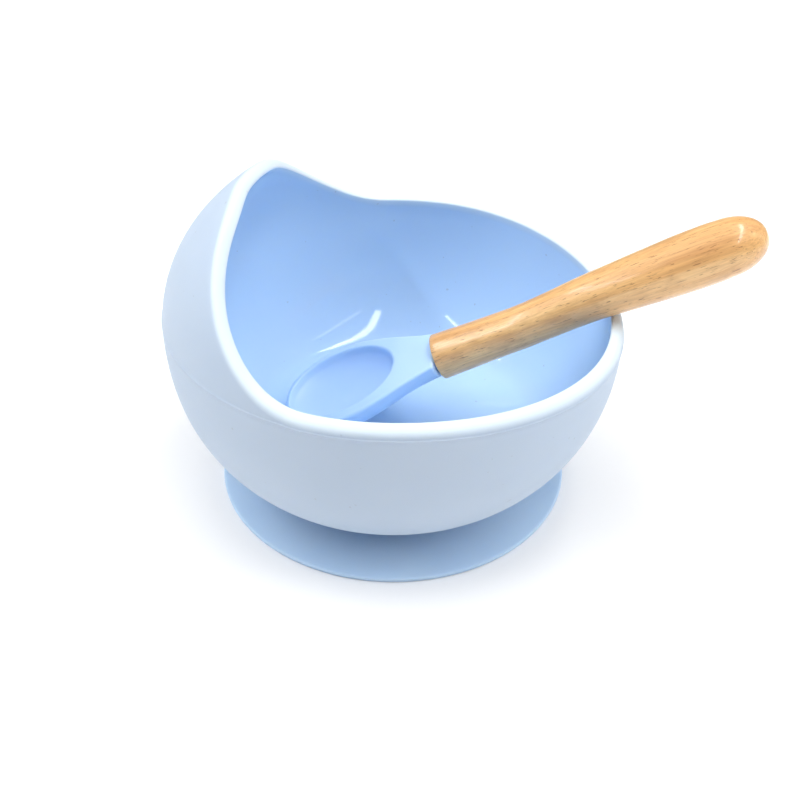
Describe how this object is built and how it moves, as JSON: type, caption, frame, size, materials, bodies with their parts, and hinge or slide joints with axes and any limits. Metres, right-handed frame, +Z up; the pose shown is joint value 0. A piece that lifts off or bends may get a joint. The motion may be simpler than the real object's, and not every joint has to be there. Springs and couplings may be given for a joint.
{
  "type": "suction bowl with spoon",
  "caption": "Baby's suction bowl with a raised splash guard on one side, standing on a flared suction cup, with a wooden-handled spoon resting across the rim.",
  "frame": {"origin": "centre of the suction cup's foot, on the table surface", "axes": "+Z up along the bowl's axis; the spoon's handle leaves over the rim towards +X and the splash guard rises towards -X"},
  "size_m": [0.1551, 0.123, 0.087],
  "materials": {
    "bowl_silicone": "matte pale blue silicone outside, polished inside",
    "cup_silicone": "satin pale blue silicone",
    "head_silicone": "satin light blue silicone",
    "beech": "satin lacquered beech"
  },
  "bodies": {
    "foot": {"suction_cup": "cup_silicone"},
    "bowl": {"bowl_shell": "bowl_silicone"},
    "spoon": {"spoon_head": "head_silicone", "spoon_handle": "beech"}
  },
  "joints": [
    {"name": "suction_press", "type": "slide", "parent": "foot", "child": "bowl", "axis": [0, 0, 1], "range_m": [-0.003, 0], "stiffness_N_per_m": 5000, "springref_m": 0.0006, "deforming": ["suction_cup"]},
    {"name": "spoon_lift", "type": "slide", "parent": "bowl", "child": "spoon", "axis": [0.4987, -0.0358, 0.866], "range_m": [0, 0.11]}
  ]
}
